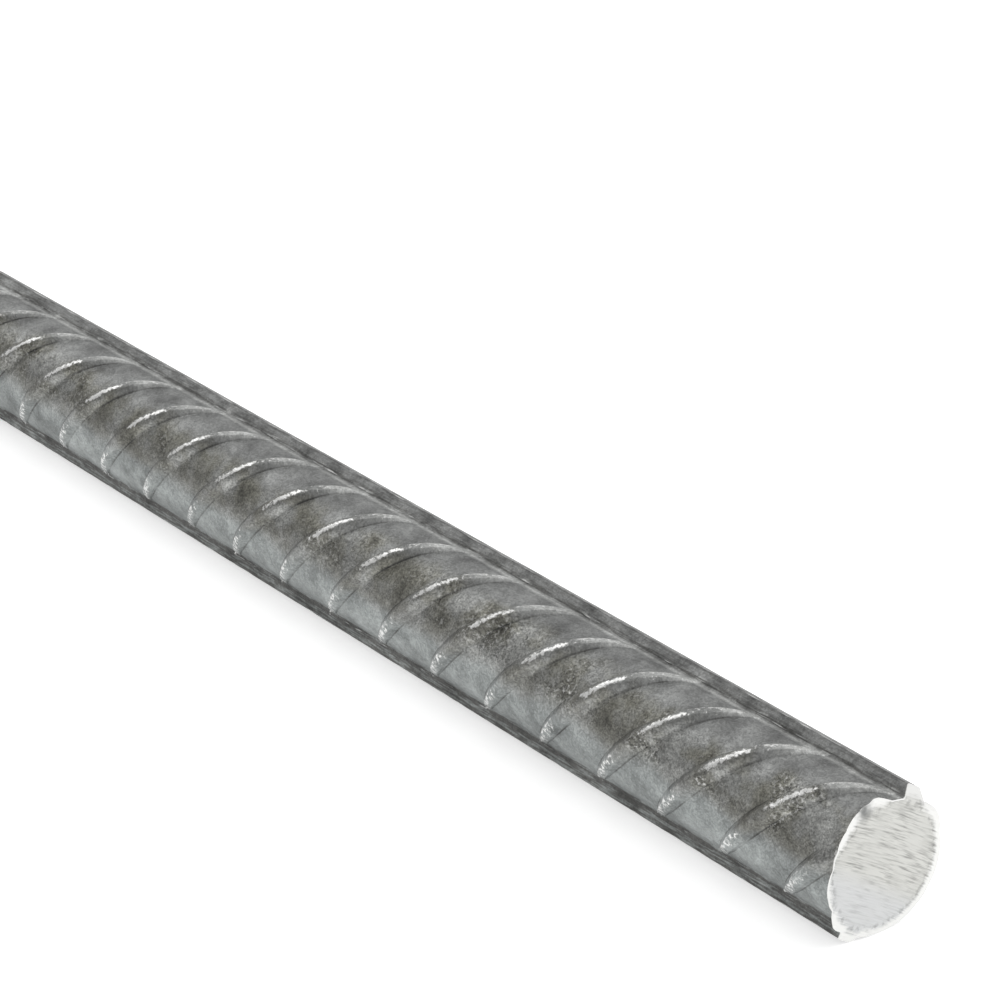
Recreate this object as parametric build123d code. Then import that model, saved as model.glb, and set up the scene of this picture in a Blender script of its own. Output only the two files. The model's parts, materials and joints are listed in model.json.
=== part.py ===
from build123d import *

import math
import os

# A ribbed reinforcing bar of 10 mm nominal size, saw-cut to length and lying on a level floor.
# The solid is the bar's outer form, out to the crests of its cross ribs.
# X runs along the bar, Z is up, and the floor under the middle of the bar is the origin.

# Bar, in millimetres
BAR_LENGTH = 500.0
CORE_DIAMETER = 9.5

# Cross ribs: crescents on both sides of the core, highest midway between the longitudinal ribs
CROSS_RIB_HEIGHT = 0.65

# Longitudinal ribs, left by the gap between the rolls, in millimetres and degrees
RIB_HEIGHT = 0.9
RIB_CREST_WIDTH = 1.3
RIB_FLANK_ANGLE = 25.0  # between a flank and the rib's own centre line
RIB_EDGE_RADIUS = 0.2
RIB_ROOT_RADIUS = 0.5

core_radius = CORE_DIAMETER / 2
crest_radius = core_radius + RIB_HEIGHT


def resting_pose():
    """Turn of the section and height of the axis when the bar lies still.

    The bar bears on one rounded edge of its lower longitudinal rib and on the crests of the
    cross ribs of one side. The floor is the line that touches that edge and their crest circle.
    """
    edge_spread = math.tan(math.radians(90 - RIB_FLANK_ANGLE) / 2)
    edge_x = crest_radius - RIB_EDGE_RADIUS
    edge_y = RIB_CREST_WIDTH / 2 - RIB_EDGE_RADIUS * edge_spread
    reach = math.hypot(edge_x, edge_y - CROSS_RIB_HEIGHT)
    bearing = math.atan2(edge_y - CROSS_RIB_HEIGHT, edge_x)
    turn = bearing + math.acos((core_radius - RIB_EDGE_RADIUS) / reach)
    height = edge_x * math.cos(turn) + edge_y * math.sin(turn) + RIB_EDGE_RADIUS
    return turn, height


def crest_circles():
    """Outline over the cross ribs: the core's circle, set off to each side by their height."""
    with Locations((0, CROSS_RIB_HEIGHT), (0, -CROSS_RIB_HEIGHT)):
        Circle(core_radius)


def longitudinal_ribs():
    """Both longitudinal ribs as one piece across the core, tapering outwards to each crest."""
    half_crest = RIB_CREST_WIDTH / 2
    half_middle = half_crest + crest_radius * math.tan(math.radians(RIB_FLANK_ANGLE))
    Polygon(
        (crest_radius, half_crest),
        (0, half_middle),
        (-crest_radius, half_crest),
        (-crest_radius, -half_crest),
        (0, -half_middle),
        (crest_radius, -half_crest),
        align=None,
    )


def distance_from_axis(corner):
    return corner.center().length


def bar_section(plane):
    """Rolled section, with filleted rib roots and rounded rib edges."""
    with BuildSketch(plane) as section:
        crest_circles()
        longitudinal_ribs()
        fillet(section.vertices().group_by(distance_from_axis)[0], RIB_ROOT_RADIUS)
        fillet(section.vertices().group_by(distance_from_axis)[-1], RIB_EDGE_RADIUS)
    return section.sketch


def rebar():
    """The whole bar, between two square saw cuts."""
    turn, height = resting_pose()
    section_plane = Plane(
        origin=(-BAR_LENGTH / 2, 0, height),
        x_dir=(0, math.sin(turn), math.cos(turn)),
        z_dir=(1, 0, 0),
    )
    bar = extrude(bar_section(section_plane), amount=BAR_LENGTH)
    bar.label = "rebar"
    return bar


os.makedirs("parts", exist_ok=True)
export_step(rebar(), "parts/rebar.step")
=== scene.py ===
# A saw-cut length of hot-rolled ribbed reinforcing bar, modelled around its solid and set on a studio stage.
# Everything is in metres, in the frame of the solid: X along the bar, Z up, the floor at Z = 0.

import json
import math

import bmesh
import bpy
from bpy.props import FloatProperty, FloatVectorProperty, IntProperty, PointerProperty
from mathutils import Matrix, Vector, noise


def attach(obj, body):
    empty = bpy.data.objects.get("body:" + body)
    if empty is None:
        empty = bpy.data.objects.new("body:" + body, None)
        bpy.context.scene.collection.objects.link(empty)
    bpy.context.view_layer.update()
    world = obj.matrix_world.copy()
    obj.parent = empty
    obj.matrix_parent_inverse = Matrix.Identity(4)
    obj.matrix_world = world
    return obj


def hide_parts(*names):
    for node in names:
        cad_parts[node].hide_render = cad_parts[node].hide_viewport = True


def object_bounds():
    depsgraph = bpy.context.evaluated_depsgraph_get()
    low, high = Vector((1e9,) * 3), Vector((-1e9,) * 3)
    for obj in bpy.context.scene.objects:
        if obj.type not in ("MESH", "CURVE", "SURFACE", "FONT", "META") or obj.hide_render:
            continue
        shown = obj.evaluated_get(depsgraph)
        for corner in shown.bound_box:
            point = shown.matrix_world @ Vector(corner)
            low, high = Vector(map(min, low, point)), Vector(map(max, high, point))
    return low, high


bl_info = {
    "name": "Ribbed reinforcing bar",
    "version": (1, 0, 0),
    "blender": (4, 5, 0),
    "location": "3D View > Sidebar > Rebar",
    "description": "Models a saw-cut ribbed reinforcing bar with its finish, and a stage to show it on",
    "category": "Object",
}

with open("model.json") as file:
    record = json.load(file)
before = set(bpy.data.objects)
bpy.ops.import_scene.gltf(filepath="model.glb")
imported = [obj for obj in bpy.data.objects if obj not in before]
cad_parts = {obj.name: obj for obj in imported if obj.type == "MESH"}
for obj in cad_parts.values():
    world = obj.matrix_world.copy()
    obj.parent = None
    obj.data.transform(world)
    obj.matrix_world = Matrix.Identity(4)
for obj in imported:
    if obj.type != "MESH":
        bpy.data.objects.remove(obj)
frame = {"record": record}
SOLID_LOW, SOLID_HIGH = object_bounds()

MM = 0.001
TOUCH = 0.001 * MM  # points closer than this are one point
SLIVER = 0.04 * MM  # points round a cut that are closer than this are merged
SMOOTH_ANGLE = math.radians(38)  # edges that turn by more than this stay crisp

IMAGE_SIZE = 1000  # pixels along each side of the image
SENSOR_WIDTH = 36.0  # millimetres, as camera settings have it
NEAREST_SEEN = 10 * MM  # what is closer to the camera isn't drawn
FLOOR_SIZE = 40.0  # wide enough to have its edge out of sight
LAMP_AIM = 60 * MM  # from the near cut back to the place that the lamps look at
BEHIND_BAR = (-0.2, 0.94, 0.28)  # the way to the brightest part of the room

BAR_LENGTH = SOLID_HIGH.x - SOLID_LOW.x
AXIS_HEIGHT = next(m["pos_m"][2] for m in frame["record"]["mounts"] if m["name"] == "near_end")
AXIS = Vector((0.0, 0.0, AXIS_HEIGHT))
NEAR, FAR = 1, -1  # the two ends, by the way that they face along X
SAWN = 1  # material slot of the sawn ends

# What the finish is told about each point of the rolled skin: how far up on a cross rib it is, how deep in a
# root (dirt and painted shade), how rubbed and lit by painted highlights, how dark on a longitudinal rib
# (scale and painted shade), how much on that rib's edges (painted highlight dashes), how pale (pale scale and
# painted light), and how far down the side.
MARKS = ("crest", "root", "wear_and_highlight", "longitudinal", "edge", "beside", "side")
BURR_MARK = "burr"  # the same for the cuts: how torn the metal is

# Cross ribs
TIP_WIDTH, WIDTH_GAIN = 0.78, 0.22  # crest width at a rib's tips and what it gains midway, as shares
LEAST_FLANK = 0.04 * MM  # a flank is at least this wide
DIRT_AND_SHADE_EDGE, DIRT_AND_SHADE_END = 0.1 * MM, 0.35 * MM  # from a rib's foot to where its dirt and painted shade thin and where they end

# Longitudinal ribs
LOWER_RIB_SHADE_GAIN = 2.1  # dark marks on the lower rib compared with the upper one, raised as painted shade low by the floor

# Zones of rubbed steel and painted highlight round the bar, in degrees from the upper longitudinal rib:
# start, full, last full, end.
STREAK_ZONE = (52, 60, 84, 98)
CROWN_ZONE = (14, 26, 48, 62)
LOW_ZONE = (100, 132, 164, 172)
PALE_FULL, PALE_END = 34, 60  # pale crests, partly painted light, from the upper rib down to these angles

# Sawn ends
LEAST_LIP = 0.03 * MM  # the burr stands out from the side by this at least
FACE_RING = 0.85  # radius of the even part of a cut's face, as a share of the core's
FACE_CUTS = 3  # divisions between that ring and the rim
PRESS_RUN = 2 * MM  # stretch before the near cut where the cross ribs are pressed flatter
PRESS_SHARE = 0.7  # share of their height that they lose at the cut
PRESSED_FROM = 0.3  # a cross rib is pressed where it has more than this share of its full height
BREAK_RUN = 4  # a broken rib end slopes back over this many times its depth
# Lumps of burr on the near cut: degrees from the upper longitudinal rib, half width in degrees, reach in mm.
NEAR_LUMPS = (
    (40, 11, 0.5),
    (60, 22, 0.8),
    (84, 9, 0.35),
    (128, 22, 0.2),
    (160, 16, 0.55),
    (194, 8, 0.25),
    (260, 85, 0.36),
    (334, 22, 0.38),
)
SAW_SWING = (0.0, 0.04, 0.06)  # from the point that the tooth marks curve round to the bar
SAW_FEED = (0.0, 0.55, 0.83)  # across the marks, away from where the blade went through last
SAW_STROKE = (0.0, 0.055, -0.033)  # along the marks, and short so that the pattern is drawn out that way

# Settings that many nodes share
SMOOTH = {"interpolation_type": "SMOOTHSTEP"}
TIMES = {"operation": "MULTIPLY"}
TIMES_PLUS = {"operation": "MULTIPLY_ADD"}
LARGER = {"operation": "MAXIMUM"}
BLEND = {"data_type": "RGBA"}
SHADE = {"data_type": "RGBA", "blend_type": "MULTIPLY"}


def linear(hex_colour):
    """Linear RGBA of an sRGB hex value such as "8a8c8e"."""
    channels = [int(hex_colour[i : i + 2], 16) / 255 for i in (0, 2, 4)]
    return [c / 12.92 if c <= 0.04045 else ((c + 0.055) / 1.055) ** 2.4 for c in channels] + [1.0]


def length(name, description, default_mm):
    """A length property, given in millimetres."""
    return FloatProperty(
        name=name, description=description, default=default_mm * MM, unit="LENGTH", precision=5
    )


def angle(name, description, default_degrees):
    """An angle property, given in degrees."""
    return FloatProperty(
        name=name, description=description, default=math.radians(default_degrees), subtype="ANGLE"
    )


def colour(name, description, hex_colour):
    """A colour property, given as an sRGB hex value."""
    return FloatVectorProperty(
        name=name, description=description, default=linear(hex_colour), subtype="COLOR", size=4, min=0, max=1
    )


class RolledBar(bpy.types.PropertyGroup):
    """Sizes that the rolls give the bar."""

    core_diameter: length("Core diameter", "Diameter of the round core between the ribs", 9.5)
    rest_turn: angle("Rest turn", "How far the upper longitudinal rib leans from upright at rest", 32.1)
    rib_height: length("Longitudinal rib height", "Height of a longitudinal rib over the core", 0.9)
    rib_crest_width: length("Longitudinal rib width", "Width of a longitudinal rib's crest", 1.3)
    rib_flank_angle: angle("Longitudinal rib flank", "Between a flank and the rib's own centre line", 25)
    rib_edge_radius: length("Longitudinal rib edge", "Rounding of the crest's edges", 0.2)
    rib_root_radius: length("Longitudinal rib root", "Fillet between a flank and the core", 0.5)
    cross_spacing: length("Cross rib spacing", "Distance from one cross rib to the next along the bar", 6.65)
    cross_height: length("Cross rib height", "Height midway between the longitudinal ribs", 0.65)
    cross_width: length("Cross rib width", "Width of a cross rib's crest at its middle", 0.75)
    cross_flank_angle: angle("Cross rib flank", "Slope of a cross rib's flanks against the core", 52)
    cross_lean: angle("Cross rib lean", "Between a cross rib and the bar's axis", 49)
    cross_margin: angle("Cross rib margin", "From a longitudinal rib's middle to the cross ribs' tips", 12)
    first_rib: length("First rib", "From the near cut to the middle of the first rib left whole", 6.7)
    arc_steps: IntProperty(
        name="Arc steps", description="Faces round each half of the core", default=30, min=8
    )


class SawCut(bpy.types.PropertyGroup):
    """Sizes of the sawn ends."""

    lip: length("Burr lip", "Thickness of the lip of metal that the saw drags over the rim", 0.1)
    burr: length("Burr reach", "How far the lip stands out from the side, on average", 0.07)
    rim: length("Rim", "Width of the bright worn rim of the cut", 0.16)
    upper_break: length("Upper rib break", "How far the upper longitudinal rib's end is broken back", 0.65)
    lower_break: length("Lower rib break", "How far the lower longitudinal rib's end is broken back", 0.325)
    chip_turn: angle("Chip angle", "Where the near cut has a torn spot, from the upper longitudinal rib", 54)
    chip_distance: length("Chip distance", "From the axis to the torn spot", 5.15)
    chip_radius: length("Chip radius", "Half the width of the torn spot", 0.6)
    chip_depth: length("Chip depth", "Depth of the torn spot", 0.18)
    rings: IntProperty(
        name="Rings", description="Rings of faces round the middle of the cut", default=6, min=2
    )


class Finish(bpy.types.PropertyGroup):
    """Colours of the steel."""

    scale_grey: colour("Scale", "Mill scale on the core", "868786")
    scale_olive: colour("Olive scale", "Patches where the scale carries a brown film", "9b9a90")
    # Paler and bluer than the scale above: partly thin scale, partly painted reflection of the white floor.
    scale_blue_and_floor_reflection: colour("Blue scale", "Thin bluish scale low on the sides", "909493")
    # Also painted light on the upper ends of the cross ribs, flanks included.
    scale_pale_and_lit: colour("Pale scale", "Thin scale by the upper longitudinal rib, on cross ribs too", "bcbdbb")
    # Also painted shade: in roots, at the ribs' feet, on the lower rib, on shoulder crests and in a band
    # below them.
    scale_dark_and_shade: colour("Dark scale", "Thick scale on the longitudinal ribs, in roots and in pits", "5a5a58")
    # Also painted highlights: streaks on the shoulder crests, far edges, edge dashes and glints.
    worn_steel_and_highlight: colour("Worn steel", "Cross ribs where handling has rubbed the scale off", "f0f0ee")
    cut_steel: colour("Sawn steel", "Face of the saw cut", "cececa")
    cut_last: colour("Last sawn steel", "Part of the cut that the blade went through last", "d1d2d2")
    burr_steel: colour("Torn steel", "Burr round the saw cut", "ececea")


class Stage(bpy.types.PropertyGroup):
    """Camera, light and floor."""

    elevation: angle("Camera elevation", "How far the camera looks down", 24.585)
    heading: angle("Camera heading", "Between the line of sight and the bar, seen from above", 37.325)
    focal_length: FloatProperty(name="Focal length", description="Lens, in millimetres", default=131.1)
    distance: length("Distance", "Depth of the near cut's middle in front of the camera", 240.73)
    cut_pixel: FloatVectorProperty(
        name="Cut in the image",
        description="Pixel of the near cut's middle",
        default=(884.15, 866.12),
        size=2,
    )
    key_light: FloatProperty(name="Key lamp", description="Radiance of the small lamp", default=3.0)
    back_light: FloatProperty(name="Back lamp", description="Radiance of the large lamp", default=1.2)
    room_front: FloatProperty(name="Room in front", description="Radiance of the dim side", default=0.45)
    room_behind: FloatProperty(name="Room behind", description="Radiance of the bright side", default=0.85)
    floor_colour: colour("Floor", "Pale studio floor", "f4f4f4")
    floor_lift: FloatProperty(
        name="Floor lift", description="Light of its own that takes the open floor to white", default=0.61
    )


# The bar's section, in polar form: an angle from the upper longitudinal rib, and a distance from the axis.


def rib_outline(bar):
    """Half of a longitudinal rib's outline as (out, across) points, from mid-crest down to the core."""
    radius = bar.core_diameter / 2
    top = radius + bar.rib_height
    down = Vector((-math.cos(bar.rib_flank_angle), math.sin(bar.rib_flank_angle)))
    outward = Vector((math.sin(bar.rib_flank_angle), math.cos(bar.rib_flank_angle)))
    corner = Vector((top, bar.rib_crest_width / 2))

    bend = (math.pi / 2 - bar.rib_flank_angle) / 2
    edge_reach = bar.rib_edge_radius * math.tan(bend)
    edge_centre = Vector((top - bar.rib_edge_radius, corner.y - edge_reach))
    edge_middle = edge_centre + bar.rib_edge_radius * Vector((math.cos(bend), math.sin(bend)))

    root_start = corner + bar.rib_root_radius * outward
    root_distance = radius + bar.rib_root_radius
    slope = root_start.dot(down)
    fall = -slope - math.sqrt(slope * slope - root_start.length_squared + root_distance * root_distance)
    root_centre = root_start + fall * down
    flank_foot = corner + fall * down
    core_foot = root_centre * radius / root_distance
    root_side = ((flank_foot + core_foot) / 2 - root_centre).normalized()
    root_middle = root_centre + bar.rib_root_radius * root_side

    crest_middle = Vector((top, 0))
    crest_edge = Vector((top, corner.y - edge_reach))
    flank_top = corner + edge_reach * down
    flank_middle = (flank_top + flank_foot) / 2
    return [
        crest_middle, crest_edge, edge_middle, flank_top, flank_middle, flank_foot, root_middle, core_foot,
    ]


def section_ring(bar):
    """The section without cross ribs, all the way round.

    Each point is an angle, a radius, how dark it is on a longitudinal rib (dark scale, with painted shade in
    the crease at its foot and on the lower rib), how much on its edges (painted highlight dashes) and beside
    it."""
    radius = bar.core_diameter / 2
    # One mark for each point of rib_outline.
    # Dark scale on the rib, with painted shade in the crease at the flank's foot.
    dark_and_shade_marks = [0.55, 0.6, 0.7, 0.5, 0.35, 1.0, 0.4, 0.0]
    # Painted highlight dashes where the crest's edge and the foot's rounding catch the light.
    edge_highlight_marks = [0.0, 0.4, 0.8, 0.2, 0.0, 0.6, 0.2, 0.0]
    beside_marks = [0.0, 0.0, 0.0, 0.0, 0.0, 0.0, 0.4, 1.0]
    rib = [
        (math.atan2(p.y, p.x), p.length, *marks)
        for p, *marks in zip(rib_outline(bar), dark_and_shade_marks, edge_highlight_marks, beside_marks)
    ]
    first = rib[-1][0]
    step = (math.pi - 2 * first) / bar.arc_steps
    arc = [(first + i * step, radius, 0.0, 0.0, 0.0) for i in range(1, bar.arc_steps)]
    # The lower rib lies low by the floor: its dark marks are raised as painted shade.
    lower_rib = [
        (math.pi - turn, reach, LOWER_RIB_SHADE_GAIN * on_rib, on_edge_highlight, 0.0)
        for turn, reach, on_rib, on_edge_highlight, _ in reversed(rib)
    ]
    near_side = rib + arc + lower_rib
    far_side = [(2 * math.pi - turn, *rest) for turn, *rest in reversed(near_side[1:-1])]
    return near_side + far_side


def fold(turn):
    """The angle from the upper longitudinal rib, counted alike down both sides."""
    return min(turn, 2 * math.pi - turn)


def swell(bar, turn):
    """Share of its full height that a cross rib has at an angle: a sine from tip to tip."""
    share = (fold(turn) - bar.cross_margin) / (math.pi - 2 * bar.cross_margin)
    return math.sin(math.pi * share) if 0 < share < 1 else 0.0


def rib_lines(bar, height_share):
    """Lines along a cross rib, from its middle to the middle of the next rib towards the near cut.

    Each is a place along the bar, and shares of the lift, of dirt and painted shade in the root, and of
    rubbed steel with painted highlights on the crest's middle and towards its far edge."""
    stretch = 1 / math.sin(bar.cross_lean)
    crest = bar.cross_width / 2 * stretch * (TIP_WIDTH + WIDTH_GAIN * height_share**0.6)
    slope_run = bar.cross_height * height_share / math.tan(bar.cross_flank_angle) * stretch
    flank = max(LEAST_FLANK, slope_run)
    foot = crest + flank
    near_half = [
        (0.0, 1.0, 0.0, 1.0, 0.9),
        (0.55 * crest, 0.98, 0.0, 0.6, 0.7),
        (crest, 0.9, 0.0, 0.0, 0.45),
        (crest + 0.5 * flank, 0.45, 0.0, 0.0, 0.0),
        (foot, 0.03, 1.0, 0.0, 0.0),
        (foot + DIRT_AND_SHADE_EDGE, 0.0, 0.2, 0.0, 0.0),
        (foot + DIRT_AND_SHADE_END, 0.0, 0.0, 0.0, 0.0),
    ]
    far_edge = [0.9, 0.95, 1.0, 0.6, 0.0, 0.0, 0.0]
    far_half = [
        (bar.cross_spacing - place, lift, root, middle, edge)
        for (place, lift, root, middle, _), edge in zip(near_half, far_edge)
    ]
    return near_half + [(bar.cross_spacing / 2, 0.0, 0.0, 0.0, 0.0)] + far_half[::-1]


def ease(value, start, end):
    """Smooth step from 0 at the start to 1 at the end."""
    share = min(1.0, max(0.0, (value - start) / (end - start)))
    return share * share * (3 - 2 * share)


def in_zone(turn, zone):
    """How much of a zone's full rubbed steel and painted highlight an angle has."""
    start, full, last_full, end = zone
    degrees = math.degrees(fold(turn))
    return ease(degrees, start, full) * ease(degrees, end, last_full)


def rubbed_and_highlit(turn, lift, middle, far_edge):
    """How bright a cross rib is painted: rubbed steel in part, with painted highlights in a streak on the
    shoulder, along the upper crest and its far edge higher up, and on its far edge low down, lit by the
    floor.
    """
    crown = in_zone(turn, CROWN_ZONE)
    return max(
        middle * in_zone(turn, STREAK_ZONE),
        0.75 * far_edge**6 * crown,
        0.38 * lift * crown,
        0.66 * far_edge * in_zone(turn, LOW_ZONE),
    )


def pale_and_lit_crest(turn, lift):
    """How pale the upper end of a cross rib is, flanks included: thin scale, and painted light where it faces
    up.
    """
    return lift**0.35 * ease(math.degrees(fold(turn)), PALE_END, PALE_FULL)


def along_axis(turn, rest_turn):
    """Unit vector out from the axis at an angle from the upper longitudinal rib, the -Y side first."""
    upright = math.pi / 2 - rest_turn + turn
    return Vector((0.0, math.cos(upright), math.sin(upright)))


def turn_of(point, bar):
    """Angle of a point round the bar, from the upper longitudinal rib."""
    upright = math.atan2(point.z - AXIS_HEIGHT, point.y)
    return (upright - math.pi / 2 + bar.rest_turn) % (2 * math.pi)


def cut_middle(end):
    """Middle of the cut at an end of the bar."""
    return AXIS + Vector((end * BAR_LENGTH / 2, 0.0, 0.0))


def chip_place(bar, cut):
    """Middle of the torn spot in the near cut."""
    return cut_middle(NEAR) + cut.chip_distance * along_axis(cut.chip_turn, bar.rest_turn)


# Modelling


def start_edit(name):
    """Names the object that was just added and opens it in edit mode."""
    piece = bpy.context.object
    piece.name = name
    piece.data.name = name
    bpy.ops.object.mode_set(mode="EDIT")
    return piece


def apply_modifier(piece, kind, **settings):
    """Adds a modifier to the active object, sets it and applies it."""
    bpy.ops.object.modifier_add(type=kind)
    modifier = piece.modifiers[-1]
    for key, value in settings.items():
        setattr(modifier, key, value)
    bpy.ops.object.modifier_apply(modifier=modifier.name)


def place_round(vert):
    """A point's place in the section, as a key that is the same all along an extruded line."""
    return round(vert.co.y, 7), round(vert.co.z, 7)


def roll_one_spacing(bar):
    """A ring of the section, extruded along one rib spacing and shaped into half of two cross ribs."""
    ring = section_ring(bar)
    lines = len(rib_lines(bar, 1.0))
    step = bar.cross_spacing / (lines - 1)
    bpy.ops.object.select_all(action="DESELECT")
    bpy.ops.mesh.primitive_circle_add(vertices=len(ring), radius=bar.core_diameter / 2)
    piece = start_edit("ribbed_bar")

    mesh = bmesh.from_edit_mesh(piece.data)
    mesh.verts.ensure_lookup_table()
    for vert, (turn, radius, *_) in zip(mesh.verts, ring):
        vert.co = AXIS + radius * along_axis(turn, bar.rest_turn)
    bmesh.update_edit_mesh(piece.data)
    ring_points = {place_round(vert): point for vert, point in zip(mesh.verts, ring)}
    for _ in range(lines - 1):
        bpy.ops.mesh.extrude_region_move(TRANSFORM_OT_translate={"value": (step, 0, 0)})

    mesh = bmesh.from_edit_mesh(piece.data)
    layers = {name: mesh.verts.layers.float.new(name) for name in (*MARKS, BURR_MARK)}
    lean_per_turn = bar.core_diameter / 2 / math.tan(bar.cross_lean)
    for vert in mesh.verts:
        turn, radius, on_rib, on_edge_highlight, beside = ring_points[place_round(vert)]
        height_share = swell(bar, turn)
        place, lift, root, *rubbing_and_highlight = rib_lines(bar, height_share)[round(vert.co.x / step)]
        reach = radius + lift * height_share * bar.cross_height
        vert.co = AXIS + reach * along_axis(turn, bar.rest_turn)
        vert.co.x = place + (math.pi / 2 - fold(turn)) * lean_per_turn
        on_cross_rib = height_share > 0
        marks = {
            "crest": lift * height_share**0.5,
            # Dirt and painted shade in the roots.
            "root": root * min(1.0, 2 * height_share),
            # Rubbed steel with painted highlights where the crests face the lamps and the floor.
            "wear_and_highlight": rubbed_and_highlit(turn, lift, *rubbing_and_highlight) if on_cross_rib else 0.0,
            "longitudinal": on_rib,
            "edge": on_edge_highlight,
            # Pale scale, and painted light on the upper ends of the cross ribs.
            "beside": max(beside, pale_and_lit_crest(turn, lift)) if on_cross_rib else beside,
            "side": fold(turn) / math.pi,
        }
        for name, mark in marks.items():
            vert[layers[name]] = mark
    bmesh.update_edit_mesh(piece.data)
    bpy.ops.object.mode_set(mode="OBJECT")
    return piece


def repeat_along_bar(piece, bar):
    """Repeats the one spacing past both ends of the bar, with a rib at its place behind the near cut."""
    lean_reach = math.pi / 2 * bar.core_diameter / 2 / math.tan(bar.cross_lean)
    before = math.ceil((BAR_LENGTH - bar.first_rib + lean_reach) / bar.cross_spacing)
    after = math.ceil((bar.first_rib + lean_reach) / bar.cross_spacing)
    start = SOLID_HIGH.x - bar.first_rib - before * bar.cross_spacing
    bpy.ops.transform.translate(value=(start, 0, 0))
    bpy.ops.object.transform_apply(location=True, rotation=True, scale=True)
    apply_modifier(
        piece,
        "ARRAY",
        count=before + after,
        use_relative_offset=False,
        use_constant_offset=True,
        constant_offset_displace=(bar.cross_spacing, 0, 0),
        use_merge_vertices=True,
        merge_threshold=TOUCH,
    )


def select_flat_end(piece, place):
    """Selects the faces that lie in the plane across the bar at a place along it."""
    bpy.ops.mesh.select_all(action="DESELECT")
    mesh = bmesh.from_edit_mesh(piece.data)
    for face in mesh.faces:
        if all(abs(v.co.x - place) < TOUCH for v in face.verts):
            face.select_set(True)
    bmesh.update_edit_mesh(piece.data)


def selected_verts(piece):
    """The edit mesh of a piece and its selected points."""
    mesh = bmesh.from_edit_mesh(piece.data)
    return mesh, [v for v in mesh.verts if v.select]


def subdivide_edges(piece, edges, cuts):
    """Divides the edges, and with them the faces between them, and leaves points as the way to select."""
    bpy.ops.mesh.select_mode(type="EDGE")
    bpy.ops.mesh.select_all(action="DESELECT")
    for edge in edges:
        edge.select_set(True)
    bmesh.update_edit_mesh(piece.data)
    bpy.ops.mesh.subdivide(number_cuts=cuts)
    bpy.ops.mesh.select_mode(type="VERT")


def press_near_ribs(piece, bar):
    """Lowers the cross ribs over the last stretch before the near cut, the more the nearer they are to it."""
    mesh = bmesh.from_edit_mesh(piece.data)
    for vert in mesh.verts:
        out = Vector((0.0, vert.co.y, vert.co.z)) - AXIS
        pressed = PRESS_SHARE * ease(vert.co.x, BAR_LENGTH / 2 - PRESS_RUN, BAR_LENGTH / 2)
        if pressed > 0 and swell(bar, turn_of(vert.co, bar)) > PRESSED_FROM:
            vert.co -= pressed * (out.length - bar.core_diameter / 2) * out.normalized()
    bmesh.update_edit_mesh(piece.data)


def lump_reach(turn, lumps):
    """Extra reach of the burr at an angle, from lumps given as NEAR_LUMPS are."""
    return sum(
        reach_mm * MM * max(0.0, 1 - ((turn - math.radians(middle)) / math.radians(half_width)) ** 2)
        for middle, half_width, reach_mm in lumps
    )


def burr_reach(cut, turn, seed):
    """How far the burr stands out from the core at an angle: wavy, with finer teeth on the waves."""
    wave = noise.noise(Vector((3 * math.cos(turn), 3 * math.sin(turn), seed)))
    teeth = noise.noise(Vector((14 * math.cos(turn), 14 * math.sin(turn), seed + 7)))
    return cut.burr * max(0.1, 1 + 0.7 * wave + 0.5 * teeth)


def saw_off(piece, place, end):
    """Cuts the bar square at a place along it and leaves the new face selected."""
    bpy.ops.mesh.select_all(action="SELECT")
    bpy.ops.mesh.bisect(
        plane_co=(place, 0, 0), plane_no=(end, 0, 0), use_fill=True, clear_outer=True, threshold=TOUCH / 4
    )
    select_flat_end(piece, place)
    bpy.ops.mesh.remove_doubles(threshold=SLIVER)
    select_flat_end(piece, place)


def drag_burr(piece, bar, cut, end, lumps):
    """Extrudes the selected face into a lip of burr and insets it by the width of the rim."""
    radius = bar.core_diameter / 2
    middle = cut_middle(end)
    bpy.ops.mesh.extrude_region_move(TRANSFORM_OT_translate={"value": (end * cut.lip, 0, 0)})
    mesh, lip = selected_verts(piece)
    burr_layer = mesh.verts.layers.float[BURR_MARK]
    for vert in lip:
        turn = turn_of(vert.co, bar)
        reach = radius + burr_reach(cut, turn, end) + lump_reach(turn, lumps)
        reach = max(reach, (vert.co - middle).length + LEAST_LIP)
        vert.co = middle + reach * along_axis(turn, bar.rest_turn)
        vert.co.z = max(vert.co.z, 0.0)
        vert[burr_layer] = 1.0
    bmesh.update_edit_mesh(piece.data)

    shrink = 1 - cut.rim / radius
    bpy.ops.mesh.extrude_region_move(TRANSFORM_OT_translate={"value": (0, 0, 0)})
    bpy.ops.transform.resize(value=(1, shrink, shrink), center_override=middle)
    mesh, rim = selected_verts(piece)
    burr_layer = mesh.verts.layers.float[BURR_MARK]
    for vert in rim:
        stand = max(0.0, (vert.co - middle).length - radius) / bar.rib_height
        lump = lump_reach(turn_of(vert.co, bar), lumps) / MM
        vert[burr_layer] = min(0.8, 0.2 + 1.3 * lump + stand)
    bmesh.update_edit_mesh(piece.data)


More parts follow.
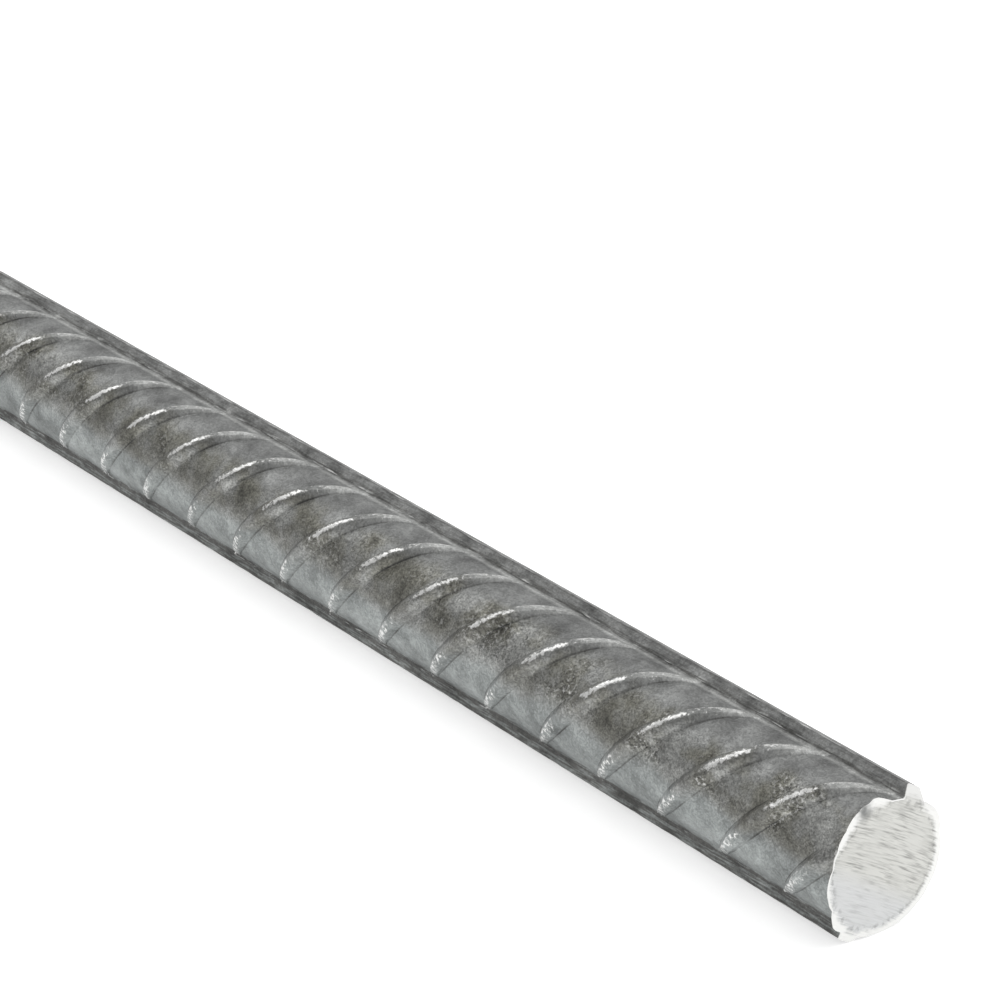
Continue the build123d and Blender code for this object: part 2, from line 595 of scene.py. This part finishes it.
def ring_face(piece, bar, cut, end):
    """Gives the selected face of a cut an even ring, and rings of faces round its middle."""
    centre = cut_middle(end)
    ring_radius = FACE_RING * bar.core_diameter / 2
    bpy.ops.mesh.extrude_region_move(TRANSFORM_OT_translate={"value": (0, 0, 0)})
    mesh, ring = selected_verts(piece)
    burr_layer = mesh.verts.layers.float[BURR_MARK]
    for vert in ring:
        vert.co = centre + ring_radius * along_axis(turn_of(vert.co, bar), bar.rest_turn)
        vert[burr_layer] = 0.0
    spokes = [e for v in ring for e in v.link_edges if not e.other_vert(v).select]
    subdivide_edges(piece, spokes, FACE_CUTS)

    mesh = bmesh.from_edit_mesh(piece.data)
    bpy.ops.mesh.select_all(action="DESELECT")
    max(mesh.faces, key=lambda f: len(f.verts)).select_set(True)
    bmesh.update_edit_mesh(piece.data)
    bpy.ops.mesh.poke()
    mesh, fan = selected_verts(piece)
    middle = max(fan, key=lambda v: len(v.link_edges))
    middle.co = centre
    subdivide_edges(piece, middle.link_edges, cut.rings)


def saw_end(piece, bar, cut, end, lumps):
    """Saws one end: a square cut with a lip of burr, a rim and a face in rings, all of bare steel."""
    lip_start = end * (BAR_LENGTH / 2 - cut.lip)
    saw_off(piece, lip_start, end)
    drag_burr(piece, bar, cut, end, lumps)
    ring_face(piece, bar, cut, end)
    mesh = bmesh.from_edit_mesh(piece.data)
    for face in mesh.faces:
        if all(end * (v.co.x - lip_start) > -TOUCH for v in face.verts):
            face.material_index = SAWN
    bmesh.update_edit_mesh(piece.data)


def break_rib_end(piece, bar, turn, depth):
    """Slopes the near end of a longitudinal rib back, by the depth at its crest, by nothing at its root."""
    out = along_axis(turn, bar.rest_turn)
    mesh = bmesh.from_edit_mesh(piece.data)
    for vert in mesh.verts:
        height = (vert.co - AXIS).dot(out) - bar.core_diameter / 2
        nearness = 1 - (BAR_LENGTH / 2 - vert.co.x) / (BREAK_RUN * depth)
        if height > 0 and nearness > 0:
            vert.co.x -= depth * min(1.0, height / bar.rib_height) * nearness
    bmesh.update_edit_mesh(piece.data)


def chip_cut(piece, bar, cut):
    """Divides the near cut finely round the torn spot and sinks the spot into it."""
    centre = chip_place(bar, cut)
    fine_radius = 1.2 * cut.chip_radius
    mesh = bmesh.from_edit_mesh(piece.data)
    bpy.ops.mesh.select_all(action="DESELECT")
    for face in mesh.faces:
        if face.material_index == SAWN and (face.calc_center_median() - centre).length < fine_radius:
            face.select_set(True)
    bmesh.update_edit_mesh(piece.data)
    bpy.ops.mesh.subdivide(number_cuts=3)
    mesh, fine_points = selected_verts(piece)
    for vert in fine_points:
        share = 1 - (vert.co - centre).length_squared / cut.chip_radius**2
        if share > 0:
            vert.co.x -= cut.chip_depth * share
    bmesh.update_edit_mesh(piece.data)


class REBAR_OT_model_bar(bpy.types.Operator):
    """Models the ribbed bar, saws both ends and gives it its steel"""

    bl_idname = "rebar.model_bar"
    bl_label = "Model the bar"

    def execute(self, context):
        bar = context.scene.rebar_bar
        cut = context.scene.rebar_cut
        finish = context.scene.rebar_finish
        piece = roll_one_spacing(bar)
        repeat_along_bar(piece, bar)
        piece.data.materials.append(hot_rolled_mill_scale(finish))
        piece.data.materials.append(bandsawn_steel(finish, chip_place(bar, cut)))
        bpy.ops.object.mode_set(mode="EDIT")
        press_near_ribs(piece, bar)
        saw_end(piece, bar, cut, NEAR, NEAR_LUMPS)
        saw_end(piece, bar, cut, FAR, ())
        break_rib_end(piece, bar, 0, cut.upper_break)
        break_rib_end(piece, bar, math.pi, cut.lower_break)
        chip_cut(piece, bar, cut)
        bpy.ops.mesh.select_all(action="SELECT")
        bpy.ops.mesh.normals_make_consistent(inside=False)
        if not all(edge.is_manifold for edge in bmesh.from_edit_mesh(piece.data).edges):
            raise RuntimeError("The bar's skin isn't closed")
        bpy.ops.object.mode_set(mode="OBJECT")
        bpy.ops.object.shade_smooth_by_angle(angle=SMOOTH_ANGLE)
        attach(piece, "root")
        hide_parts("rebar")
        return {"FINISHED"}


# Materials


def add_node(tree, kind, settings=None, inputs=None):
    """Adds a node with its settings. An input is a value, an output, or a node whose first output links."""
    node = tree.nodes.new(kind)
    for key, value in (settings or {}).items():
        setattr(node, key, value)
    for key, value in (inputs or {}).items():
        if isinstance(value, bpy.types.Node):
            value = next(output for output in value.outputs if output.enabled)
        if isinstance(value, bpy.types.NodeSocket):
            tree.links.new(value, node.inputs[key])
        else:
            node.inputs[key].default_value = value
    return node


def new_material(name):
    """A material with an empty node tree."""
    material = bpy.data.materials.new(name)
    material.use_nodes = True
    material.node_tree.nodes.clear()
    return material


def per_metre(size_mm):
    """Texture scale that makes a pattern's cells about that large."""
    return 1 / (size_mm * MM)


def hot_rolled_mill_scale(finish):
    """The rolled skin of the bar."""
    # Hot-rolled steel under mill scale: a dull grey sheen that takes the tone of floor and room. A brown film
    # lies on the shoulders and, lower down, a paler bluish colour in patches, partly thin scale and partly a
    # painted reflection of the white floor. Roots and longitudinal ribs hold thick dark scale, drawn out in
    # streaks along the bar, and painted shade darkens the roots, the ribs' feet, the lower rib, the shoulder
    # crests and a band below the shoulders. The crests are rubbed bright in places, with painted highlights
    # where they face the lamps and the floor. Grain and streaks are drawn coarser than real ones, which are
    # too fine to show.
    material = new_material("hot_rolled_mill_scale")
    tree = material.node_tree
    where = add_node(tree, "ShaderNodeTexCoord").outputs["Object"]
    along = add_node(tree, "ShaderNodeSeparateXYZ", None, {"Vector": where}).outputs["X"]
    drawn_out = add_node(tree, "ShaderNodeMapping", None, {"Vector": where, "Scale": (0.08, 1, 1)})
    crest, root, wear_and_highlight, rib, edge, beside, side = (
        add_node(tree, "ShaderNodeAttribute", {"attribute_name": name}).outputs["Fac"] for name in MARKS
    )

    cloud = add_node(
        tree, "ShaderNodeTexNoise", None, {"Vector": where, "Scale": per_metre(5), "Detail": 4.0}
    )
    film = add_node(
        tree, "ShaderNodeTexNoise", None, {"Vector": where, "Scale": per_metre(2.5), "Detail": 6.0}
    )
    grain = add_node(
        tree, "ShaderNodeTexNoise", None, {"Vector": where, "Scale": per_metre(0.14), "Detail": 2.0}
    )
    rub = add_node(
        tree, "ShaderNodeTexNoise", None,
        {"Vector": where, "Scale": per_metre(0.3), "Detail": 5.0, "Roughness": 0.65},
    )
    streak = add_node(
        tree, "ShaderNodeTexNoise", None, {"Vector": drawn_out, "Scale": per_metre(0.14), "Detail": 4.0}
    )
    wool = add_node(
        tree, "ShaderNodeTexNoise", None,
        {"Vector": where, "Scale": per_metre(0.5), "Detail": 3.0, "Roughness": 0.6, "Distortion": 1.5},
    )

    # Brown film on the shoulders and, on the belly, a paler bluish colour: partly scale, partly a painted
    # reflection of the white floor. Both have ragged borders.
    ragged = add_node(tree, "ShaderNodeMath", TIMES_PLUS, {0: cloud, 1: 0.3, 2: side})
    below_crown = add_node(
        tree, "ShaderNodeMapRange", SMOOTH, {"Value": ragged, "From Min": 0.42, "From Max": 0.58}
    )
    above_belly = add_node(
        tree, "ShaderNodeMapRange", SMOOTH, {"Value": ragged, "From Min": 0.82, "From Max": 0.7}
    )
    shoulder = add_node(tree, "ShaderNodeMath", TIMES, {0: below_crown, 1: above_belly})
    patch = add_node(
        tree, "ShaderNodeMapRange", None, {"Value": film, "From Min": 0.42, "From Max": 0.62, "To Min": 0.12}
    )
    olive = add_node(tree, "ShaderNodeMath", TIMES, {0: shoulder, 1: patch})
    # Painted reflection of the white floor, with bluish scale, low on the sides.
    belly = add_node(tree, "ShaderNodeMapRange", SMOOTH, {"Value": ragged, "From Min": 0.7, "From Max": 0.86})
    skin = add_node(
        tree, "ShaderNodeMix", BLEND, {"Factor": belly, "A": finish.scale_grey, "B": finish.scale_blue_and_floor_reflection}
    )
    filmed = add_node(tree, "ShaderNodeMix", BLEND, {"Factor": olive, "A": skin, "B": finish.scale_olive})

    # Rough patches on the shoulders, most of them near the cut, where the bar was clamped for the saw.
    rough_patch = add_node(
        tree, "ShaderNodeMapRange", SMOOTH, {"Value": cloud, "From Min": 0.47, "From Max": 0.62}
    )
    clamp_start, clamp_full = BAR_LENGTH / 2 - 45 * MM, BAR_LENGTH / 2 - 20 * MM
    clamped = add_node(
        tree, "ShaderNodeMapRange", SMOOTH,
        {"Value": along, "From Min": clamp_start, "From Max": clamp_full, "To Min": 0.4},
    )
    clamp_share = add_node(tree, "ShaderNodeMath", TIMES, {0: clamped, 1: shoulder})
    rough_share = add_node(tree, "ShaderNodeMath", TIMES, {0: rough_patch, 1: clamp_share})

    # Pale scale beside the upper longitudinal rib, and paler upper ends of the cross ribs: thin scale there
    # too, and painted light where they face up.
    pale_and_lit_share = add_node(tree, "ShaderNodeMath", TIMES, {0: beside, 1: 0.85})
    striped = add_node(
        tree, "ShaderNodeMix", BLEND, {"Factor": pale_and_lit_share, "A": filmed, "B": finish.scale_pale_and_lit}
    )

    # Dark scale in the pits of the rough patches; dark scale with painted shade in roots and on the
    # longitudinal ribs; painted shade on crests over the shoulders and in a dusky band low on the shoulders.
    blots = add_node(
        tree, "ShaderNodeMapRange", None, {"Value": film, "From Min": 0.35, "From Max": 0.65, "To Min": 0.2}
    )
    # Dirt and painted shade in the roots of the cross ribs.
    root_line = add_node(
        tree, "ShaderNodeMapRange", SMOOTH, {"Value": root, "From Min": 0.4, "From Max": 0.9}
    )
    root_dirt_and_shade = add_node(tree, "ShaderNodeMath", TIMES, {0: root_line, 1: blots})
    streak_share = add_node(
        tree, "ShaderNodeMapRange", None,
        {"Value": streak, "From Min": 0.4, "From Max": 0.6, "To Min": 1.3, "To Max": 0.35},
    )
    # Dark scale with painted shade on the longitudinal ribs.
    rib_scale_and_shade = add_node(tree, "ShaderNodeMath", TIMES, {0: rib, 1: streak_share})
    # Painted shade on the crests over the shoulders.
    crest_zone = add_node(tree, "ShaderNodeMath", TIMES, {0: crest, 1: shoulder})
    crest_painted_shade = add_node(tree, "ShaderNodeMath", TIMES, {0: crest_zone, 1: 0.32})
    pits = add_node(
        tree, "ShaderNodeMapRange", None, {"Value": rub, "From Min": 0.58, "From Max": 0.7, "To Max": 0.35}
    )
    pit_share = add_node(tree, "ShaderNodeMath", TIMES, {0: pits, 1: rough_share})
    # Painted shade in a dusky band low on the shoulders.
    below_shoulder = add_node(
        tree, "ShaderNodeMapRange", SMOOTH,
        {"Value": ragged, "From Min": 0.56, "From Max": 0.7, "To Max": 0.5},
    )
    dusk_painted_shade = add_node(tree, "ShaderNodeMath", TIMES, {0: below_shoulder, 1: above_belly})
    dark_share = root_dirt_and_shade
    for share in (rib_scale_and_shade, crest_painted_shade, pit_share, dusk_painted_shade):
        dark_share = add_node(tree, "ShaderNodeMath", LARGER, {0: dark_share, 1: share})
    darkened = add_node(
        tree, "ShaderNodeMix", BLEND, {"Factor": dark_share, "A": striped, "B": finish.scale_dark_and_shade}
    )

    # Broad drifts of tone, woolly mottling that is strongest in the rough patches, and a fine grain.
    drift = add_node(
        tree, "ShaderNodeMapRange", None,
        {"Value": film, "From Min": 0.3, "From Max": 0.7, "To Min": 1.6, "To Max": 0.45},
    )
    drift_share = add_node(
        tree, "ShaderNodeMapRange", None, {"Value": shoulder, "To Min": 0.55, "To Max": 1.0}
    )
    wool_tone = add_node(
        tree, "ShaderNodeMapRange", None,
        {"Value": wool, "From Min": 0.38, "From Max": 0.62, "To Min": 0.5, "To Max": 1.75},
    )
    wool_share = add_node(
        tree, "ShaderNodeMapRange", None, {"Value": rough_share, "To Min": 0.3, "To Max": 0.85}
    )
    speckle = add_node(
        tree, "ShaderNodeMapRange", None,
        {"Value": grain, "From Min": 0.3, "From Max": 0.7, "To Min": 0.65, "To Max": 1.35},
    )
    speckle_share = add_node(
        tree, "ShaderNodeMapRange", None, {"Value": shoulder, "To Min": 0.45, "To Max": 1.0}
    )
    toned = darkened
    for share, tone in ((drift_share, drift), (wool_share, wool_tone), (speckle_share, speckle)):
        toned = add_node(tree, "ShaderNodeMix", SHADE, {"Factor": share, "A": toned, "B": tone})

    # Bare metal and painted highlights: rubbed crests with painted highlight streaks, painted highlight
    # dashes along the longitudinal ribs' edges, and painted glints in the rough patches.
    # Rubbed crests with painted highlights.
    ragged_wear_and_highlight = add_node(tree, "ShaderNodeMath", TIMES_PLUS, {0: rub, 1: -2.6, 2: wear_and_highlight})
    crest_share = add_node(
        tree, "ShaderNodeMapRange", None, {"Value": ragged_wear_and_highlight, "From Min": -0.78, "From Max": -0.47}
    )
    # Painted highlight dashes along the longitudinal ribs' edges, in the colour of rubbed steel.
    broken_edge = add_node(tree, "ShaderNodeMath", TIMES_PLUS, {0: streak, 1: 1.2, 2: edge})
    dashed_edge = add_node(tree, "ShaderNodeMath", TIMES_PLUS, {0: film, 1: 0.8, 2: broken_edge})
    edge_highlight_share = add_node(
        tree, "ShaderNodeMapRange", None,
        {"Value": dashed_edge, "From Min": 1.7, "From Max": 1.9, "To Max": 0.7},
    )
    # Painted glints in the rough patches.
    spark = add_node(
        tree, "ShaderNodeMapRange", None, {"Value": rub, "From Min": 0.48, "From Max": 0.37, "To Max": 0.7}
    )
    glint_share = add_node(tree, "ShaderNodeMath", TIMES, {0: rough_share, 1: spark})
    bare = crest_share
    for share in (edge_highlight_share, glint_share):
        bare = add_node(tree, "ShaderNodeMath", LARGER, {0: bare, 1: share})
    skin_colour = add_node(tree, "ShaderNodeMix", BLEND, {"Factor": bare, "A": toned, "B": finish.worn_steel_and_highlight})
    dull = add_node(
        tree, "ShaderNodeMapRange", None,
        {"Value": film, "From Min": 0.3, "From Max": 0.7, "To Min": 0.4, "To Max": 0.55},
    )
    gloss = add_node(tree, "ShaderNodeMix", {"data_type": "FLOAT"}, {"Factor": bare, "A": dull, "B": 0.32})

    # Relief, each kind on top of the one before it: rolling waves, grain, pits, rough patches, and streaks on
    # the longitudinal ribs.
    wave = add_node(
        tree, "ShaderNodeTexNoise", None, {"Vector": where, "Scale": per_metre(1.1), "Detail": 2.0}
    )
    rough_height = add_node(tree, "ShaderNodeMath", TIMES, {0: rough_share, 1: wool})
    streak_height = add_node(tree, "ShaderNodeMath", TIMES, {0: rib, 1: streak})
    relief = add_node(tree, "ShaderNodeBump", None, {"Height": wave, "Distance": 0.12 * MM})
    for height, depth_mm, sunk in (
        (grain, 0.035, False),
        (pit_share, 0.04, True),
        (rough_height, 0.2, False),
        (streak_height, 0.06, False),
    ):
        relief = add_node(
            tree, "ShaderNodeBump", {"invert": sunk},
            {"Height": height, "Distance": depth_mm * MM, "Normal": relief},
        )
    steel = add_node(
        tree, "ShaderNodeBsdfPrincipled", None,
        {"Base Color": skin_colour, "Metallic": 0.9, "Roughness": gloss, "Normal": relief},
    )
    add_node(tree, "ShaderNodeOutputMaterial", None, {"Surface": steel})
    return material


def bandsawn_steel(finish, chip):
    """The fresh faces of the cuts."""
    # Bandsawn mild steel: bright bare metal with slightly curved tooth marks across it. They bite unevenly,
    # are fainter where the blade went through last, and are lost in the pale torn burr. They are drawn
    # coarser than real ones, which are too fine to show.
    material = new_material("bandsawn_steel")
    tree = material.node_tree
    where = add_node(tree, "ShaderNodeTexCoord").outputs["Object"]
    burr = add_node(tree, "ShaderNodeAttribute", {"attribute_name": BURR_MARK}).outputs["Fac"]

    # Tooth marks.
    swing = add_node(tree, "ShaderNodeVectorMath", TIMES_PLUS, {0: where, 1: (0, 1, 1), 2: SAW_SWING})
    reach = add_node(tree, "ShaderNodeVectorMath", {"operation": "LENGTH"}, {0: swing})
    along = add_node(tree, "ShaderNodeVectorMath", {"operation": "DOT_PRODUCT"}, {0: where, 1: SAW_STROKE})
    stroke = add_node(tree, "ShaderNodeCombineXYZ", None, {"X": reach, "Y": along})
    lines = add_node(
        tree, "ShaderNodeTexNoise", None,
        {"Vector": stroke, "Scale": per_metre(0.14), "Detail": 2.0, "Roughness": 0.6},
    )
    tone = add_node(
        tree, "ShaderNodeMapRange", None,
        {"Value": lines, "From Min": 0.3, "From Max": 0.55, "To Min": 0.52, "To Max": 1.05},
    )
    across = add_node(tree, "ShaderNodeVectorMath", {"operation": "DOT_PRODUCT"}, {0: where, 1: SAW_FEED})
    last = add_node(
        tree, "ShaderNodeMapRange", SMOOTH, {"Value": across, "From Min": 3.6 * MM, "From Max": 1.8 * MM}
    )
    metal = add_node(
        tree, "ShaderNodeMix", BLEND, {"Factor": last, "A": finish.cut_steel, "B": finish.cut_last}
    )
    depth = add_node(tree, "ShaderNodeMapRange", None, {"Value": last, "To Min": 1.0, "To Max": 0.45})
    press = add_node(
        tree, "ShaderNodeTexNoise", None, {"Vector": where, "Scale": per_metre(1.6), "Detail": 2.0}
    )
    bite = add_node(
        tree, "ShaderNodeMapRange", SMOOTH,
        {"Value": press, "From Min": 0.38, "From Max": 0.6, "To Min": 0.35},
    )
    mark_share = add_node(tree, "ShaderNodeMath", TIMES, {0: depth, 1: bite})
    marked = add_node(tree, "ShaderNodeMix", SHADE, {"Factor": mark_share, "A": metal, "B": tone})

    # Painted shade in patches just inside the burr, the pale burr itself, and the torn spot.
    crumb = add_node(
        tree, "ShaderNodeTexNoise", None, {"Vector": where, "Scale": per_metre(0.5), "Detail": 3.0}
    )
    # Painted shade just inside the burr.
    shade_inside_burr = add_node(
        tree, "ShaderNodeMapRange", SMOOTH,
        {"Value": burr, "From Min": 0.05, "From Max": 0.4, "To Min": 1.0, "To Max": 0.7},
    )
    shade_patch = add_node(tree, "ShaderNodeMapRange", SMOOTH, {"Value": crumb, "From Min": 0.46, "From Max": 0.6})
    shaded_inside_burr = add_node(tree, "ShaderNodeMix", SHADE, {"Factor": shade_patch, "A": marked, "B": shade_inside_burr})
    ragged_burr = add_node(tree, "ShaderNodeMath", TIMES_PLUS, {0: lines, 1: 0.5, 2: burr})
    burr_share = add_node(
        tree, "ShaderNodeMapRange", SMOOTH, {"Value": ragged_burr, "From Min": 0.55, "From Max": 0.95}
    )
    bright = add_node(
        tree, "ShaderNodeMix", BLEND, {"Factor": burr_share, "A": shaded_inside_burr, "B": finish.burr_steel}
    )
    from_chip = add_node(tree, "ShaderNodeVectorMath", {"operation": "DISTANCE"}, {0: where, 1: chip})
    ragged_chip = add_node(tree, "ShaderNodeMath", TIMES_PLUS, {0: crumb, 1: 1.2 * MM, 2: from_chip})
    torn = add_node(
        tree, "ShaderNodeMapRange", SMOOTH,
        {"Value": ragged_chip, "From Min": 1.6 * MM, "From Max": 0.55 * MM, "To Max": 0.95},
    )
    face = add_node(tree, "ShaderNodeMix", BLEND, {"Factor": torn, "A": bright, "B": finish.scale_grey})
    relief = add_node(tree, "ShaderNodeBump", None, {"Height": lines, "Distance": 0.05 * MM})
    steel = add_node(
        tree, "ShaderNodeBsdfPrincipled", None,
        {"Base Color": face, "Metallic": 0.85, "Roughness": 0.5, "Normal": relief},
    )
    add_node(tree, "ShaderNodeOutputMaterial", None, {"Surface": steel})
    return material


def pale_floor(stage):
    """The floor of the stage."""
    # Matt white board: plain diffuse, with just enough light of its own to read as white where nothing
    # shades it.
    material = new_material("matt_white_board")
    tree = material.node_tree
    path = add_node(tree, "ShaderNodeLightPath").outputs
    seen = path["Is Camera Ray"]
    for ray in ("Is Glossy Ray", "Is Transmission Ray"):
        seen = add_node(tree, "ShaderNodeMath", LARGER, {0: seen, 1: path[ray]})
    lift = add_node(tree, "ShaderNodeMath", TIMES, {0: seen, 1: stage.floor_lift})
    board = add_node(
        tree, "ShaderNodeBsdfPrincipled", None,
        {
            "Base Color": stage.floor_colour,
            "Roughness": 1.0,
            "Specular IOR Level": 0.0,
            "Emission Color": (1, 1, 1, 1),
            "Emission Strength": lift,
        },
    )
    add_node(tree, "ShaderNodeOutputMaterial", None, {"Surface": board})
    return material


# Stage


def add_floor(stage):
    """A wide level board under the bar."""
    bpy.ops.object.select_all(action="DESELECT")
    bpy.ops.mesh.primitive_plane_add(size=FLOOR_SIZE)
    floor = bpy.context.object
    floor.name = "floor"
    floor.data.materials.append(pale_floor(stage))


def lamp_power(radiance, width, height):
    """Watts of a rectangular lamp whose face has that radiance."""
    return radiance * math.pi * width * height


def add_lamp(name, direction, distance, size, radiance):
    """A square soft lamp that looks at the near end of the bar from a direction."""
    target = Vector((SOLID_HIGH.x - LAMP_AIM, 0, 0))
    way = Vector(direction).normalized()
    bpy.ops.object.light_add(
        type="AREA", location=target + distance * way, rotation=way.to_track_quat("Z", "Y").to_euler()
    )
    lamp = bpy.context.object
    lamp.name = name
    lamp.data.size = size
    lamp.data.energy = lamp_power(radiance, size, size)
    lamp.visible_camera = False


def light_room(stage):
    """A dim room, brighter behind the bar than towards the camera's side."""
    world = bpy.data.worlds.new("studio")
    world.use_nodes = True
    tree = world.node_tree
    tree.nodes.clear()
    way = add_node(tree, "ShaderNodeTexCoord").outputs["Generated"]
    behind = add_node(tree, "ShaderNodeVectorMath", {"operation": "DOT_PRODUCT"}, {0: way, 1: BEHIND_BAR})
    glow = add_node(
        tree, "ShaderNodeMapRange", SMOOTH,
        {
            "Value": behind,
            "From Min": -0.6,
            "From Max": 0.9,
            "To Min": stage.room_front,
            "To Max": stage.room_behind,
        },
    )
    sky = add_node(tree, "ShaderNodeBackground", None, {"Color": (1, 1, 1, 1), "Strength": glow})
    add_node(tree, "ShaderNodeOutputWorld", None, {"Surface": sky})
    bpy.context.scene.world = world


def place_camera(stage):
    """Puts the near cut's middle at its pixel and depth, with the bar running away to the upper left."""
    sin_turn, cos_turn = math.sin(stage.heading), math.cos(stage.heading)
    sin_down, cos_down = math.sin(stage.elevation), math.cos(stage.elevation)
    right = Vector((sin_turn, cos_turn, 0))
    ahead = Vector((-cos_turn * cos_down, sin_turn * cos_down, -sin_down))
    up = right.cross(ahead)
    metres_per_pixel = stage.distance * SENSOR_WIDTH / stage.focal_length / IMAGE_SIZE
    across = (stage.cut_pixel[0] - IMAGE_SIZE / 2) * metres_per_pixel
    below = (stage.cut_pixel[1] - IMAGE_SIZE / 2) * metres_per_pixel
    place = cut_middle(NEAR) - across * right + below * up - stage.distance * ahead
    bpy.ops.object.camera_add(location=place, rotation=ahead.to_track_quat("-Z", "Y").to_euler())
    camera = bpy.context.object
    camera.name = "camera"
    camera.data.sensor_width = SENSOR_WIDTH
    camera.data.lens = stage.focal_length
    camera.data.clip_start = NEAREST_SEEN
    bpy.context.scene.camera = camera


class REBAR_OT_set_stage(bpy.types.Operator):
    """Adds the floor, the lamps, the room and the camera"""

    bl_idname = "rebar.set_stage"
    bl_label = "Set the stage"

    def execute(self, context):
        stage = context.scene.rebar_stage
        add_floor(stage)
        add_lamp("key_lamp", (-0.72, -0.1, 0.68), distance=1.2, size=0.3, radiance=stage.key_light)
        add_lamp("back_lamp", (0.3, 0.6, 0.75), distance=1.6, size=1.2, radiance=stage.back_light)
        light_room(stage)
        place_camera(stage)
        context.scene.view_settings.view_transform = "Standard"
        return {"FINISHED"}


class REBAR_PT_sidebar(bpy.types.Panel):
    """Sizes, colours and steps of the bar"""

    bl_idname = "REBAR_PT_sidebar"
    bl_label = "Reinforcing bar"
    bl_space_type = "VIEW_3D"
    bl_region_type = "UI"
    bl_category = "Rebar"

    def draw(self, context):
        scene = context.scene
        steps = (
            (REBAR_OT_model_bar, (scene.rebar_bar, scene.rebar_cut, scene.rebar_finish)),
            (REBAR_OT_set_stage, (scene.rebar_stage,)),
        )
        for operator, groups in steps:
            for group in groups:
                box = self.layout.box()
                for name in group.__annotations__:
                    box.prop(group, name)
            self.layout.operator(operator.bl_idname)


GROUPS = {"rebar_bar": RolledBar, "rebar_cut": SawCut, "rebar_finish": Finish, "rebar_stage": Stage}
CLASSES = (*GROUPS.values(), REBAR_OT_model_bar, REBAR_OT_set_stage, REBAR_PT_sidebar)


def register():
    for cls in CLASSES:
        bpy.utils.register_class(cls)
    for name, group in GROUPS.items():
        setattr(bpy.types.Scene, name, PointerProperty(type=group))


def unregister():
    for name in GROUPS:
        delattr(bpy.types.Scene, name)
    for cls in reversed(CLASSES):
        bpy.utils.unregister_class(cls)


def main():
    register()
    bpy.ops.rebar.model_bar()
    bpy.ops.rebar.set_stage()


if __name__ == "__main__":
    main()
